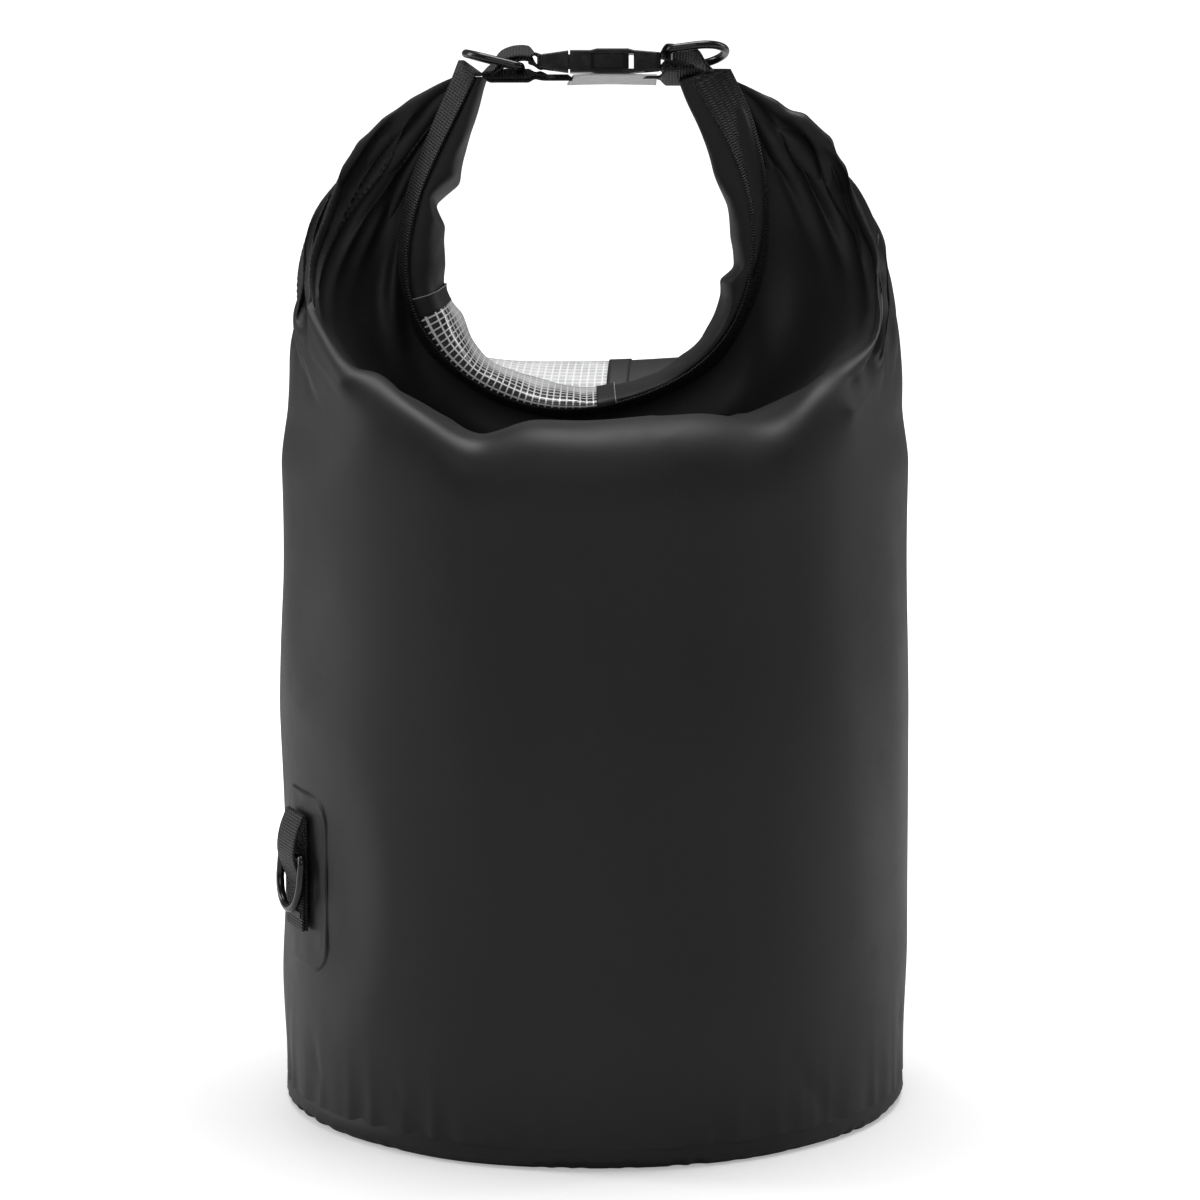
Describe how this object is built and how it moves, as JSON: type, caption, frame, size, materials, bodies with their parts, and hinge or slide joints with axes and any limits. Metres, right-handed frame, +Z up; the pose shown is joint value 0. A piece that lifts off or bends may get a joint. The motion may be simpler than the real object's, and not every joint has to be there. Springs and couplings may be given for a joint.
{
  "type": "rope storage bag",
  "caption": "Round roll-top tarpaulin bag for storing and hauling rope, its rolled mouth buckled end to end into a carrying loop.",
  "frame": {"origin": "middle of the underside of the round base", "axes": "+Z up, from the base to the buckle; -Y is the front, the side the rolled mouth's rim webbing faces; +X to the right as seen from the front"},
  "size_m": [0.3096, 0.3066, 0.527],
  "materials": {
    "tarpaulin": "black PVC-coated cloth, matte, slight sheen",
    "clear_film": "clear PVC film over a square white mesh",
    "webbing": "black woven webbing, ribbed across",
    "stiffener": "black polyethylene strip",
    "pale_plastic": "light grey flexible sheet, plain",
    "buckle_plastic": "black acetal, satin to gloss",
    "ring_plastic": "black acetal, gloss",
    "thread": "black bonded thread"
  },
  "bodies": {
    "bag": {"wall_panel": "tarpaulin", "window_panel": "clear_film", "window_weld_left": "tarpaulin", "window_weld_right": "tarpaulin", "base_pan": "tarpaulin", "top_roll": "tarpaulin", "rim_webbing": "webbing", "mouth_stiffener": "stiffener", "strap_left": "webbing", "strap_right": "webbing", "guard_tab": "pale_plastic", "buckle_female": "buckle_plastic", "side_patch": "tarpaulin", "side_tab": "webbing", "side_tab_bartack": "thread"},
    "male_half": {"buckle_male": "buckle_plastic"},
    "arm_front": {"buckle_arm_front": "buckle_plastic"},
    "arm_rear": {"buckle_arm_rear": "buckle_plastic"},
    "left_ring": {"ring_left": "ring_plastic"},
    "right_ring": {"ring_right": "ring_plastic"},
    "side_ring": {"ring_side": "ring_plastic"}
  },
  "joints": [
    {"name": "buckle_release", "type": "slide", "parent": "bag", "child": "male_half", "axis": [-1, 0, 0], "range_m": [0, 0.024], "deforming": ["strap_left", "buckle_arm_front", "buckle_arm_rear"]},
    {"name": "front_arm_press", "type": "hinge", "parent": "male_half", "child": "arm_front", "pos_m": [-0.01615, -0.01671, 0.51706], "axis": [0, 0.1219, 0.9925], "range_deg": [0, 11], "stiffness_Nm_per_rad": 2.3},
    {"name": "rear_arm_press", "type": "hinge", "parent": "male_half", "child": "arm_rear", "pos_m": [-0.01615, 0.0087, 0.51394], "axis": [0, -0.1219, -0.9925], "range_deg": [0, 11], "stiffness_Nm_per_rad": 2.3},
    {"name": "left_ring_swing", "type": "hinge", "parent": "male_half", "child": "left_ring", "pos_m": [-0.036, -0.00432, 0.51292], "axis": [0, 0.9925, -0.1219], "range_deg": [0, 105]},
    {"name": "right_ring_swing", "type": "hinge", "parent": "bag", "child": "right_ring", "pos_m": [0.0362, -0.00335, 0.51696], "axis": [0, -0.9135, 0.4067], "range_deg": [0, 105]},
    {"name": "side_ring_swing", "type": "hinge", "parent": "bag", "child": "side_ring", "pos_m": [-0.1479, -0.05796, 0.134], "axis": [-0.3649, 0.9311, 0], "range_deg": [0, 165]}
  ]
}
